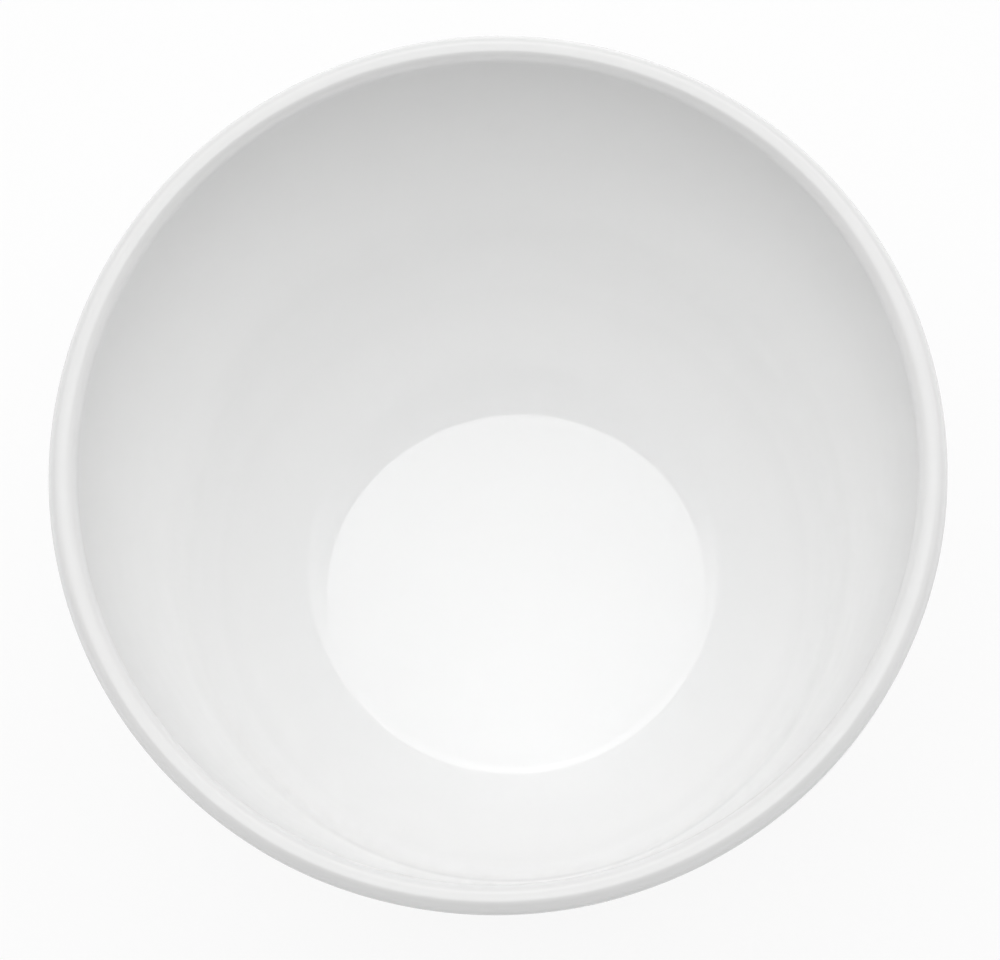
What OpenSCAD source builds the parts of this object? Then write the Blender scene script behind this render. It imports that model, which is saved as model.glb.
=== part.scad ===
// Handle-less espresso cup: a porcelain body with a rolled lip and a foot ring, under thin coats of glaze.
// The cup stands on z = 0 and its axis is Z. All lengths are in millimetres.

/* [Cup] */
// Outside diameter across the lip
rim_d = 60; // [54:1:70]
// Height from the table to the top of the lip
cup_h = 50; // [44:1:64]
// Thickness of the lip, which is fully rounded
lip_t = 2; // [1.6:0.1:3]
// Thickness of the wall at its lower bend
wall_t = 2; // [1.8:0.1:4]
// Lean of the inside wall from upright, in degrees
wall_lean = 8.5; // [5:0.5:14]
// Inside radius of the bend from the wall into the floor
bend_r = 14; // [9:0.5:16]
// Inside radius of the floor's shallow dish
dish_r = 60; // [45:5:200]
// Thickness of the porcelain straight under the bend
under_t = 4.2; // [3:0.1:5.5]
// Thickness of the floor at its middle
floor_t = 3.2; // [2.4:0.1:5]

/* [Foot] */
// Outside diameter of the foot ring
foot_d = 36; // [30:1:40]
// Width of the foot ring
foot_w = 2.8; // [2.2:0.1:4]
// Depth of the recess inside the foot ring
recess_h = 2.4; // [1.8:0.1:3.6]
// Radius of the recess's corner
recess_r = 0.8; // [0.4:0.1:1.2]
// Radius of the blend from the wall into the foot ring
foot_blend_r = 1.5; // [0.6:0.1:3]
// Rounding of the edges that the cup stands on
foot_edge_r = 0.5; // [0.2:0.1:0.7]

/* [Glaze] */
// Thickness of each coat of glaze
glaze_t = 0.25; // [0.1:0.05:0.4]
// Height of the bare band outside the foot ring, above its rounded edge
bare_h = 0.5; // [0.2:0.1:1.5]

/* [Hidden] */

// Largest gap between an arc and the chords that stand for it
arc_gap = 0.006;
// Facets of a full turn in the preview
$fn = 96;

glaze_white = "#f7f7f5";
bare_white = "#e9e4da";

// Lip: the centre and radius of its round edge
lip_r = lip_t / 2;
lip_c = [rim_d / 2 - lip_r, cup_h - lip_r];

// Floor: the centre of the dish's arc, on the cup's axis
floor_z = recess_h + floor_t;
dish_c = [0, floor_z + dish_r];

// Bend: its arc touches the dish and a straight wall that touches the lip
wall_out = [cos(wall_lean), -sin(wall_lean)];
wall_down = [-sin(wall_lean), -cos(wall_lean)];
wall_gap = wall_out * (lip_c - dish_c) - lip_r - bend_r;
bend_c = dish_c + wall_out * wall_gap + wall_down * sqrt((dish_r - bend_r) ^ 2 - wall_gap ^ 2);
dish_end = direction(dish_c, bend_c);

// Outside wall: a straight line that touches the lip and the outside of the bend, which thickens downwards
bend_out_r = bend_r + wall_t;
bend_out_c = bend_c - [0, under_t - wall_t];
outer_lean = acos((bend_out_r - lip_r) / norm(lip_c - bend_out_c)) - direction(bend_out_c, lip_c);

// Foot ring: its radii, and the blend that touches the bend and the ring's outside face
foot_r = foot_d / 2;
foot_in_r = foot_r - foot_w;
blend_x = foot_r + foot_blend_r;
blend_drop = sqrt((bend_out_r + foot_blend_r) ^ 2 - (blend_x - bend_out_c.x) ^ 2);
blend_c = [blend_x, bend_out_c.y - blend_drop];
bend_end = direction(bend_out_c, blend_c);
recess_c = [foot_in_r - recess_r, recess_h - recess_r];

// Angle of the line from one point to another
function direction(from, to) = atan2(to.y - from.y, to.x - from.x);

// Points of an arc about c, from one angle to another, both ends included
function arc(c, r, from, to) =
    let (chord_turn = 2 * acos(1 - arc_gap / r))
    let (steps = max(2, ceil(abs(to - from) / chord_turn)))
    [for (i = [0:steps]) let (a = from + (to - from) * i / steps) c + r * [cos(a), sin(a)]];

function reversed(points) = [for (i = [len(points) - 1:-1:0]) points[i]];
function without_first(points) = [for (i = [1:len(points) - 1]) points[i]];

// Each line below lies at a depth under the glazed surface: 0 is the glaze, glaze_t is the porcelain

// Inside line, from the axis across the floor, up the wall and over the lip
function inside_line(depth) = concat(
    arc(dish_c, dish_r + depth, -90, dish_end),
    without_first(arc(bend_c, bend_r + depth, dish_end, -wall_lean)),
    arc(lip_c, lip_r - depth, 180 - wall_lean, -outer_lean)
);

// Outside line, from the lip down the wall, around the bend and into the foot ring
function outside_line(depth) = concat(
    [lip_c + (lip_r - depth) * [cos(outer_lean), -sin(outer_lean)]],
    arc(bend_out_c, bend_out_r - depth, -outer_lean, bend_end),
    without_first(arc(blend_c, foot_blend_r + depth, bend_end + 180, 180))
);

// Standing edges of the foot ring, from outside to inside
function foot_line() = concat(
    arc([foot_r - glaze_t - foot_edge_r, foot_edge_r], foot_edge_r, 0, -90),
    arc([foot_in_r + glaze_t + foot_edge_r, foot_edge_r], foot_edge_r, -90, -180)
);

// Recess line, from the foot ring's inside face to the axis
function recess_line(depth) = concat(
    arc(recess_c, recess_r + depth, 0, 90),
    [[0, recess_h + depth]]
);

// The fired clay: wall, floor and foot ring in one piece
module porcelain_body() {
    color(bare_white)
        rotate_extrude()
            polygon(concat(
                inside_line(glaze_t),
                without_first(outside_line(glaze_t)),
                foot_line(),
                recess_line(glaze_t)
            ));
}

// The coat over the floor, the inside wall and the lip
module inside_glaze() {
    color(glaze_white)
        rotate_extrude()
            polygon(concat(inside_line(0), reversed(inside_line(glaze_t))));
}

// The coat over the outside wall, which ends in a rounded edge above the bare band
module outside_glaze() {
    edge_c = [foot_r - glaze_t, foot_edge_r + bare_h + glaze_t];
    color(glaze_white)
        rotate_extrude()
            polygon(concat(
                outside_line(0),
                arc(edge_c, glaze_t, 0, -90),
                reversed(outside_line(glaze_t))
            ));
}

// The coat in the recess, which ends in a rounded edge below the recess's corner
module base_glaze() {
    edge_c = [foot_in_r + glaze_t, recess_c.y];
    color(glaze_white)
        rotate_extrude()
            polygon(concat(
                reversed(recess_line(0)),
                without_first(arc(edge_c, glaze_t, 180, 270)),
                recess_line(glaze_t)
            ));
}

porcelain_body();
inside_glaze();
outside_glaze();
base_glaze();
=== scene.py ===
import math

import bmesh
import bpy
from mathutils import Matrix, Vector, noise


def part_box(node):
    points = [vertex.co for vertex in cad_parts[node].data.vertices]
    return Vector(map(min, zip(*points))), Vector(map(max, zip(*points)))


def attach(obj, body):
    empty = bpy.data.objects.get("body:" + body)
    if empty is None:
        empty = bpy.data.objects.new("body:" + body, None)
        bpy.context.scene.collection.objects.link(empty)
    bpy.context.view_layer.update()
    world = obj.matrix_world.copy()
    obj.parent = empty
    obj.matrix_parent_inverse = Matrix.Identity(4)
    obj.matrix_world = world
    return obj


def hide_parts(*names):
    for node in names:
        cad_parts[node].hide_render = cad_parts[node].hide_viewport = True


# White espresso cup: three coats of glaze over a porcelain body with a bare foot ring.
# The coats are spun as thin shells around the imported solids. Lengths are in metres, angles in radians.

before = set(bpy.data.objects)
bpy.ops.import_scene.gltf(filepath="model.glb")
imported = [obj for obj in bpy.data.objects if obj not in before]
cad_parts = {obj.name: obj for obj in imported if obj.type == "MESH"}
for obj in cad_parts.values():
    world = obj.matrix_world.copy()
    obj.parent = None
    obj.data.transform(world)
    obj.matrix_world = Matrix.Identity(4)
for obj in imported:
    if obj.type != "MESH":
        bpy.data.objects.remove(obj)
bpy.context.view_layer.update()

MM = 0.001

# Sizes that the solids share with this script and that no box gives
GLAZE_T = 0.25 * MM
LIP_R = 1.0 * MM
WALL_T = 2.0 * MM
WALL_LEAN = math.radians(8.5)
BEND_R = 14.0 * MM
DISH_R = 60.0 * MM
UNDER_T = 4.2 * MM
FOOT_W = 2.8 * MM
FOOT_BLEND_R = 1.5 * MM
RECESS_R = 0.8 * MM

# How far the fired glaze departs from a true surface
WAVE_LENGTH = 13.0 * MM
WAVE_HEIGHT = 0.045 * MM
POOL_REACH = 3.0 * MM
EDGE_WOBBLE = 0.16 * MM
EDGE_LOBES = 3.0

# Fineness of the shells
SPIN_STEPS = 264
RING_GAP = 0.5 * MM
LIP_TURN = math.radians(3)
SMALL_TURN = math.radians(6)
SEAM_GUARD = 0.02
SHARP_TURN = math.radians(40)
AXIS_R = GLAZE_T / 100
MERGE_GAP = GLAZE_T / 1000

# White glaze: its tones, and the sizes of the lumps that vary them
GLAZE_GREYER = (0.905, 0.906, 0.904, 1)
GLAZE_WHITER = (0.935, 0.935, 0.934, 1)
GLAZE_POOLED = (0.895, 0.899, 0.899, 1)
# Painted shade: the grey that the top of the lip is painted, darker than the rest of the glaze
LIP_PAINTED_SHADE = (0.73, 0.73, 0.727, 1)
GLAZE_IOR = 1.62
DRIFT_SIZE = 18 * MM
DRIFT_SHARE = 0.7
CLOUD_SIZE = 3 * MM
CLOUD_DETAIL = 4.0
PEEL_SIZE = 1.1 * MM
PEEL_DEPTH = 0.0006 * MM
PLAIN_DETAIL = 2.0

# White glaze: the pool and the dull wall fade between two heights over the floor,
# and the painted shade on the top of the lip between two depths under the top of the lip
POOL_SHARE = 0.7
POOL_FULL = 1 * MM
POOL_END = 6 * MM
LIP_START = 0.5 * LIP_R
LIP_FULL = 0.08 * LIP_R
LIP_SHADE_SHARE = 0.85
LIP_SHADE_PATCHES = 0.3
DULL_START = 8 * MM
DULL_FULL = 20 * MM
LIP_POLISH = 0.9
GLAZE_ROUGHNESS = 0.03
CLOUD_ROUGHNESS = 0.03
INSIDE_DULLNESS = 0.18
OUTSIDE_DULLNESS = 0.05

# Bare clay of the foot ring: its tones, its grain, and how standing has worn it
CLAY_DARKER = (0.80, 0.775, 0.72, 1)
CLAY_PALER = (0.87, 0.85, 0.80, 1)
CLAY_WORN = (0.56, 0.54, 0.50, 1)
CLAY_IOR = 1.5
CLAY_ROUGHNESS = 0.62
GRAIN_SIZE = 0.12 * MM
GRAIN_DETAIL = 3.0
GRAIN_DEPTH = 0.01 * MM
SMUDGE_SIZE = 2.2 * MM
SMUDGE_DETAIL = 4.0
SMUDGE_START = 0.35
SMUDGE_FULL = 0.7
WORN_FULL = 0.02 * MM
WORN_END = 0.14 * MM
WORN_SHARE = 0.6
WORN_POLISH = 0.25

# Photograph: its size, and where the middle of the cup's mouth falls in it
PHOTO_W = 1000
PHOTO_H = 960
MOUTH_PIXEL_X = 496.4
MOUTH_PIXEL_Y = 464.9

# Camera: how it looks at the middle of the mouth
CAMERA_RISE = math.radians(77.4)
CAMERA_ROLL = math.radians(-9)
CAMERA_REACH = 368 * MM
CAMERA_VIEW_W = 66.5 * MM
SENSOR_W = 36.0

# Light: an oval soft box over the cup and a little behind it, brighter by its lead towards the front
BOX_BEHIND = math.radians(11)
BOX_SPREAD_ACROSS = math.radians(34.5)
BOX_SPREAD_ALONG = math.radians(29)
BOX_SOFTNESS = 0.03
BOX_RADIANCE = 1.93
BOX_LEAD = 0.75

# Room around the box: brighter behind the cup and far out at its sides, the right side by its lead
CEILING_RADIANCE = 0.47
BACK_RADIANCE = 2.5
SIDE_FOCUS = 4
SIDE_RADIANCE = 3.1
SIDE_LEAD = 1.2

# Backdrop and floor, which are white where they are seen
BACKDROP_TOP = math.radians(30)
BACKDROP_FADE = math.radians(6)
FLOOR_HALF_W = 1.5
FLOOR_TONE = (0.82, 0.82, 0.82, 1)
FLOOR_WHITE_SHARE = 0.88
WHITE = (1, 1, 1, 1)


# Profile of the cup

def heading(angle):
    """Unit step in the profile's plane, at an angle from the radius."""
    return Vector((math.cos(angle), math.sin(angle)))


def direction(start, stop):
    """Angle of the line from one point of the profile to another."""
    along = stop - start
    return math.atan2(along.y, along.x)


def arc(centre, radius, start, stop, hollow=False, turn=None):
    """Stations along an arc. A station is a point and the way out of the glaze there."""
    widest_turn = turn or RING_GAP / radius
    steps = max(2, math.ceil(abs(stop - start) / widest_turn))
    ways = [heading(start + (stop - start) * i / steps) for i in range(steps + 1)]
    return [(centre + radius * way, -way if hollow else way) for way in ways]


def straight(start, stop):
    """Stations between two stations of a straight stretch, without its ends."""
    run = stop[0] - start[0]
    steps = max(2, math.ceil(run.length / RING_GAP))
    return [(start[0] + run * i / steps, start[1]) for i in range(1, steps)]


def close_to(station, neighbour):
    """A station right beside another one, which keeps the shading true up to a seam."""
    point = station[0].lerp(neighbour[0], SEAM_GUARD)
    way = station[1].lerp(neighbour[1], SEAM_GUARD).normalized()
    return point, way


def beneath(stations):
    """Points of the porcelain's surface under a coat."""
    return [point - GLAZE_T * way for point, way in stations]


def mean(vectors):
    """Middle of some points or ways of the profile."""
    return sum(vectors, Vector((0, 0))) / len(vectors)


def pooled(stations):
    """A stretch as melting leaves it: each station settles between those around it, and the ends stay."""
    widest_reach = round(POOL_REACH / RING_GAP)
    last = len(stations) - 1
    settled = []
    for i in range(len(stations)):
        reach = min(widest_reach, i, last - i)
        near = stations[i - reach:i + reach + 1]
        settled_point = mean([point for point, way in near])
        settled_way = mean([way for point, way in near]).normalized()
        settled.append((settled_point, settled_way))
    return settled


inside_low, inside_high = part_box("inside_glaze")
outside_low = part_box("outside_glaze")[0]
base_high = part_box("base_glaze")[1]

rim_r = inside_high.x
cup_h = inside_high.z
floor_z = inside_low.z + GLAZE_T
recess_h = base_high.z - GLAZE_T
foot_in_r = base_high.x - GLAZE_T
foot_r = foot_in_r + FOOT_W
glaze_edge_z = outside_low.z

# Inside: a shallow dish, a bend and a straight wall that touches the lip
lip_c = Vector((rim_r - LIP_R, cup_h - LIP_R))
dish_c = Vector((0, floor_z + DISH_R))
wall_out = heading(-WALL_LEAN)
wall_down = Vector((wall_out.y, -wall_out.x))
wall_gap = wall_out.dot(lip_c - dish_c) - LIP_R - BEND_R
bend_drop = math.sqrt((DISH_R - BEND_R) ** 2 - wall_gap ** 2)
bend_c = dish_c + wall_out * wall_gap + wall_down * bend_drop
dish_end = direction(dish_c, bend_c)

# Outside: a straight wall that touches the lip, a bend and the blend into the foot ring
bend_out_r = BEND_R + WALL_T
bend_out_c = bend_c - Vector((0, UNDER_T - WALL_T))
lip_reach = (lip_c - bend_out_c).length
outer_lean = math.acos((bend_out_r - LIP_R) / lip_reach) - direction(bend_out_c, lip_c)
blend_x = foot_r + FOOT_BLEND_R
blend_drop = math.sqrt((bend_out_r + FOOT_BLEND_R) ** 2 - (blend_x - bend_out_c.x) ** 2)
blend_c = Vector((blend_x, bend_out_c.y - blend_drop))
bend_end = direction(bend_out_c, blend_c)
recess_c = Vector((foot_in_r - RECESS_R, recess_h - RECESS_R))


def inside_stations():
    """From the middle of the floor to the middle of the bend, on up the wall, and over the lip."""
    dish = arc(dish_c, DISH_R, -math.pi / 2, dish_end, hollow=True)
    bend = arc(bend_c, BEND_R, dish_end, -WALL_LEAN, hollow=True)
    lip = arc(lip_c, LIP_R, math.pi - WALL_LEAN, -outer_lean, turn=LIP_TURN)
    half = len(bend) // 2
    floor = dish + bend[1:half]
    wall = bend[half:] + straight(bend[-1], lip[0])
    return floor, wall, lip[:-1] + [close_to(lip[-1], lip[-2]), lip[-1]]


def outside_stations():
    """From the lip, down the wall, round the bend and down the foot ring to the coat's rounded edge."""
    lip_end = (lip_c + LIP_R * heading(-outer_lean), heading(-outer_lean))
    bend = arc(bend_out_c, bend_out_r, -outer_lean, bend_end)
    wall = straight(lip_end, bend[0])
    blend = arc(blend_c, FOOT_BLEND_R, bend_end + math.pi, math.pi, hollow=True, turn=SMALL_TURN)
    edge_c = Vector((foot_r - GLAZE_T, glaze_edge_z + GLAZE_T))
    edge = arc(edge_c, GLAZE_T, 0, -math.pi / 2, turn=SMALL_TURN)
    ring = straight(blend[-1], edge[0])
    return [lip_end, close_to(lip_end, wall[0])] + wall + bend + blend[1:] + ring + edge


def base_stations():
    """From the middle of the recess, round its corner to the coat's rounded edge."""
    corner = arc(recess_c, RECESS_R, math.pi / 2, 0, hollow=True, turn=SMALL_TURN)
    middle = (Vector((0, recess_h)), corner[0][1])
    edge_c = Vector((foot_in_r + GLAZE_T, recess_c.y))
    edge = arc(edge_c, GLAZE_T, -math.pi, -math.pi / 2, turn=SMALL_TURN)
    return [middle] + straight(middle, corner[0]) + corner + edge[1:]


# Glaze shells

def glaze_rise(place):
    """How far the slow waves of the glaze stand above its mean surface."""
    return WAVE_HEIGHT * noise.noise(place / WAVE_LENGTH)


def edge_shift(point, angle):
    """How far the coat's lower edge runs up or down the foot ring, where the glaze was wiped off."""
    share = (blend_c.y - point.y) / (blend_c.y - glaze_edge_z)
    if share <= 0 or point.x < foot_in_r + FOOT_W / 2:
        return 0.0
    lobe = noise.noise(Vector((math.cos(angle), math.sin(angle), 0)) * EDGE_LOBES)
    return EDGE_WOBBLE * lobe * share


def around(point, angle):
    """Place in space of a point of the profile."""
    return Vector((point.x * math.cos(angle), point.x * math.sin(angle), point.y))


def spin(shell, point, way):
    """One ring of a shell, or one point on the axis. With a way out it follows the glaze's waves."""
    steps = SPIN_STEPS if point.x > AXIS_R else 1
    ring = []
    for i in range(steps):
        angle = math.tau * i / steps
        place = around(point, angle)
        if way:
            place += glaze_rise(place) * around(way, angle)
        place.z += edge_shift(point, angle)
        ring.append(shell.verts.new(place))
    return ring


def join(shell, first, second):
    """Faces between two rings, one of which may be a point on the axis."""
    steps = max(len(first), len(second))
    for i in range(steps):
        corners = [first[i % len(first)], first[(i + 1) % len(first)]]
        corners += [second[(i + 1) % len(second)], second[i % len(second)]]
        shell.faces.new(dict.fromkeys(corners))


def coat(name, node, surface, seat, finish):
    """One coat of glaze as a closed shell: its wavy surface, and the smooth back on the porcelain."""
    shell = bmesh.new()
    rings = [spin(shell, point, way) for point, way in surface]
    rings += [spin(shell, point, None) for point in reversed(seat)]
    for first, second in zip(rings, rings[1:]):
        join(shell, first, second)
    if len(rings[0]) > 1:
        join(shell, rings[-1], rings[0])
    bmesh.ops.remove_doubles(shell, verts=shell.verts, dist=MERGE_GAP)
    bmesh.ops.recalc_face_normals(shell, faces=shell.faces)
    mesh = bpy.data.meshes.new(name)
    shell.to_mesh(mesh)
    shell.free()
    mesh.shade_smooth()
    mesh.set_sharp_from_angle(angle=SHARP_TURN)
    mesh.materials.append(finish)
    piece = bpy.data.objects.new(name, mesh)
    bpy.context.scene.collection.objects.link(piece)
    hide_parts(node)
    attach(piece, "root")


# Shader maths

class Shade:
    """One output of a node tree. Arithmetic on it adds Math nodes to the same tree."""

    def __init__(self, tree, output=None):
        self.tree = tree
        self.output = output

    def node(self, kind, settings=None, sockets=None, output=0):
        """Adds any other node: its settings first, then the values or links of its sockets."""
        made = self.tree.nodes.new(kind)
        for name, value in (settings or {}).items():
            setattr(made, name, value)
        for name, value in (sockets or {}).items():
            if isinstance(value, Shade):
                self.tree.links.new(value.output, made.inputs[name])
            else:
                made.inputs[name].default_value = value
        return Shade(self.tree, made.outputs[output] if made.outputs else None)

    def math(self, operation, first, second):
        """Adds a Math node of two values."""
        return self.node("ShaderNodeMath", {"operation": operation}, {0: first, 1: second})

    def __add__(self, other):
        return self.math("ADD", self, other)

    def __radd__(self, other):
        return self.math("ADD", other, self)

    def __sub__(self, other):
        return self.math("SUBTRACT", self, other)

    def __rsub__(self, other):
        return self.math("SUBTRACT", other, self)

    def __mul__(self, other):
        return self.math("MULTIPLY", self, other)

    def __rmul__(self, other):
        return self.math("MULTIPLY", other, self)

    def __pow__(self, other):
        return self.math("POWER", self, other)

    def __abs__(self):
        return self.node("ShaderNodeMath", {"operation": "ABSOLUTE"}, {0: self})

    def at_least(self, low):
        """This value, or low where it is lower."""
        return self.math("MAXIMUM", self, low)

    def ramp(self, low, high):
        """0 where the value is at or below low, 1 at or above high, smooth between."""
        settings = {"interpolation_type": "SMOOTHSTEP"}
        sockets = {"Value": self, "From Min": low, "From Max": high}
        return self.node("ShaderNodeMapRange", settings, sockets)

    def blend(self, first, second):
        """Colour between two colours, by this value."""
        settings = {"data_type": "RGBA"}
        sockets = {"Factor": self, "A": first, "B": second}
        return self.node("ShaderNodeMix", settings, sockets, output="Result")


def noise_of(place, size, detail=PLAIN_DETAIL):
    """Noise from 0 to 1 with lumps of about the given size."""
    sockets = {"Vector": place, "Scale": 1 / size, "Detail": detail}
    return place.node("ShaderNodeTexNoise", None, sockets)


def bump_of(height, depth):
    """Normal of a surface that a height from 0 to 1 raises by the given depth."""
    return height.node("ShaderNodeBump", None, {"Height": height, "Distance": depth})


def new_material(name):
    """An empty material: the material and a start for its nodes."""
    material = bpy.data.materials.new(name)
    material.use_nodes = True
    material.node_tree.nodes.clear()
    return material, Shade(material.node_tree)


def place_and_height(start):
    """Place on the cup, and its height over the table."""
    place = start.node("ShaderNodeTexCoord", output="Object")
    height = place.node("ShaderNodeSeparateXYZ", None, {"Vector": place}, output="Z")
    return place, height


def principled(start, sockets):
    """The shader of a surface, wired to the material's output."""
    surface = start.node("ShaderNodeBsdfPrincipled", None, sockets)
    start.node("ShaderNodeOutputMaterial", None, {"Surface": surface})


def white_glaze(name, wall_dullness):
    """Glossy clear glaze over white porcelain: glassy where it pools low down, with painted shade greying
    the top of the lip.
    """
    material, start = new_material(name)
    place, height = place_and_height(start)
    drift = noise_of(place, DRIFT_SIZE)
    cloud = noise_of(place, CLOUD_SIZE, CLOUD_DETAIL)
    peel = noise_of(place, PEEL_SIZE)
    mottle = DRIFT_SHARE * drift + (1 - DRIFT_SHARE) * cloud
    tone = mottle.blend(GLAZE_GREYER, GLAZE_WHITER)
    glassy = POOL_SHARE * (1 - height.ramp(floor_z + POOL_FULL, floor_z + POOL_END))
    pool_tone = glassy.blend(tone, GLAZE_POOLED)
    # Painted shade: this mask greys the top of the lip, and it also makes the lip glossier
    lip_shade_and_polish_mask = height.ramp(cup_h - LIP_START, cup_h - LIP_FULL) * (LIP_SHADE_SHARE + LIP_SHADE_PATCHES * cloud)
    dull = height.ramp(floor_z + DULL_START, floor_z + DULL_FULL) * (1 - LIP_POLISH * lip_shade_and_polish_mask)
    principled(start, {
        "Base Color": lip_shade_and_polish_mask.blend(pool_tone, LIP_PAINTED_SHADE),
        "Roughness": GLAZE_ROUGHNESS + CLOUD_ROUGHNESS * cloud + wall_dullness * dull,
        "Normal": bump_of(peel, PEEL_DEPTH),
        "IOR": GLAZE_IOR,
    })
    return material


def bare_porcelain(name):
    """Unglazed clay of the foot ring: matt and fine-grained, rubbed smooth and grey where it stands."""
    material, start = new_material(name)
    place, height = place_and_height(start)
    grain = noise_of(place, GRAIN_SIZE, GRAIN_DETAIL)
    smudge = noise_of(place, SMUDGE_SIZE, SMUDGE_DETAIL)
    clay = grain.blend(CLAY_DARKER, CLAY_PALER)
    worn = (1 - height.ramp(WORN_FULL, WORN_END)) * smudge.ramp(SMUDGE_START, SMUDGE_FULL)
    principled(start, {
        "Base Color": (WORN_SHARE * worn).blend(clay, CLAY_WORN),
        "Roughness": CLAY_ROUGHNESS - WORN_POLISH * worn,
        "Normal": bump_of(grain, GRAIN_DEPTH),
        "IOR": CLAY_IOR,
    })
    return material


# Pieces

def inside_coat():
    """The coat over the floor, the inside wall and the lip. It has settled on the wall and in its bend."""
    floor, wall, lip = inside_stations()
    surface = floor + pooled(pooled(wall)) + lip
    seat = beneath(floor + wall + lip)
    finish = white_glaze("inside_glaze_white", INSIDE_DULLNESS)
    coat("inside_coat", "inside_glaze", surface, seat, finish)


def outside_coats():
    """The coats over the outside wall and in the recess under the cup, which share a finish."""
    wall = outside_stations()
    recess = base_stations()
    finish = white_glaze("outside_glaze_white", OUTSIDE_DULLNESS)
    coat("outside_coat", "outside_glaze", wall, beneath(wall), finish)
    coat("base_coat", "base_glaze", recess, beneath(recess), finish)


def porcelain_body():
    """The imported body, which shows only at its bare foot ring."""
    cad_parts["porcelain_body"].data.materials[0] = bare_porcelain("foot_ring_clay")


# Stage

def seen_share(start):
    """1 on the rays that show the background: the camera's, and those through gloss and glass."""
    direct = start.node("ShaderNodeLightPath", output="Is Camera Ray")
    glossy = start.node("ShaderNodeLightPath", output="Is Glossy Ray")
    through = start.node("ShaderNodeLightPath", output="Is Transmission Ray")
    return direct + glossy + through


def pale_floor():
    """White floor that still keeps the cup's shadow."""
    material, start = new_material("pale_floor")
    lit = start.node("ShaderNodeBsdfDiffuse", None, {"Color": FLOOR_TONE})
    white = start.node("ShaderNodeEmission", None, {"Color": WHITE, "Strength": 1.0})
    share = FLOOR_WHITE_SHARE * seen_share(start)
    surface = start.node("ShaderNodeMixShader", None, {0: share, 1: lit, 2: white})
    start.node("ShaderNodeOutputMaterial", None, {"Surface": surface})
    mesh = bpy.data.meshes.new("floor")
    signs = ((-1, -1), (1, -1), (1, 1), (-1, 1))
    corners = [(x * FLOOR_HALF_W, y * FLOOR_HALF_W, 0) for x, y in signs]
    mesh.from_pydata(corners, [], [(0, 1, 2, 3)])
    mesh.materials.append(material)
    floor = bpy.data.objects.new("floor", mesh)
    bpy.context.scene.collection.objects.link(floor)


def with_soft_box(room, across, along, rise):
    """The room's light with the soft box in it: an oval around its axis, brighter towards its front."""
    facing = math.sin(BOX_BEHIND) * along + math.cos(BOX_BEHIND) * rise
    slope = math.cos(BOX_BEHIND) * along - math.sin(BOX_BEHIND) * rise
    side_share = across * (1 / math.tan(BOX_SPREAD_ACROSS))
    slope_share = slope * (1 / math.tan(BOX_SPREAD_ALONG))
    inside = facing * facing - side_share * side_share - slope_share * slope_share
    box = BOX_RADIANCE - BOX_LEAD * slope_share
    return room + inside.ramp(0, BOX_SOFTNESS) * (box - room)


def room_light():
    """Soft box and pale room around it, above a backdrop that is white where it is seen."""
    world = bpy.data.worlds.new("room")
    bpy.context.scene.world = world
    world.use_nodes = True
    world.node_tree.nodes.clear()
    start = Shade(world.node_tree)
    way = start.node("ShaderNodeTexCoord", output="Generated")
    across, along, rise = (
        start.node("ShaderNodeSeparateXYZ", None, {"Vector": way}, output=axis) for axis in "XYZ"
    )
    above = rise.ramp(math.sin(BACKDROP_TOP - BACKDROP_FADE), math.sin(BACKDROP_TOP + BACKDROP_FADE))
    sides = abs(across) ** SIDE_FOCUS * (SIDE_RADIANCE * abs(across) + SIDE_LEAD * across)
    room = CEILING_RADIANCE + BACK_RADIANCE * along.at_least(0) + sides
    light = with_soft_box(room, across, along, rise)
    strength = above * light + (1 - above) * seen_share(start)
    sky = start.node("ShaderNodeBackground", None, {"Color": WHITE, "Strength": strength})
    start.node("ShaderNodeOutputWorld", None, {"Surface": sky})


def camera():
    """Camera at the photograph's place, high over the cup's front, rolled a little."""
    mouth = Vector((0, 0, cup_h))
    lens = bpy.data.cameras.new("camera")
    lens.sensor_width = SENSOR_W
    lens.lens = SENSOR_W * CAMERA_REACH / CAMERA_VIEW_W
    lens.shift_x = (PHOTO_W / 2 - MOUTH_PIXEL_X) / PHOTO_W
    lens.shift_y = (MOUTH_PIXEL_Y - PHOTO_H / 2) / PHOTO_W
    eye = bpy.data.objects.new("camera", lens)
    away = Vector((0, -math.cos(CAMERA_RISE), math.sin(CAMERA_RISE)))
    turn = away.to_track_quat("Z", "Y").to_matrix() @ Matrix.Rotation(CAMERA_ROLL, 3, "Z")
    eye.location = mouth + CAMERA_REACH * away
    eye.rotation_euler = turn.to_euler()
    bpy.context.scene.collection.objects.link(eye)
    bpy.context.scene.camera = eye


camera()
bpy.context.scene.view_settings.view_transform = "Standard"
room_light()
pale_floor()
inside_coat()
outside_coats()
porcelain_body()
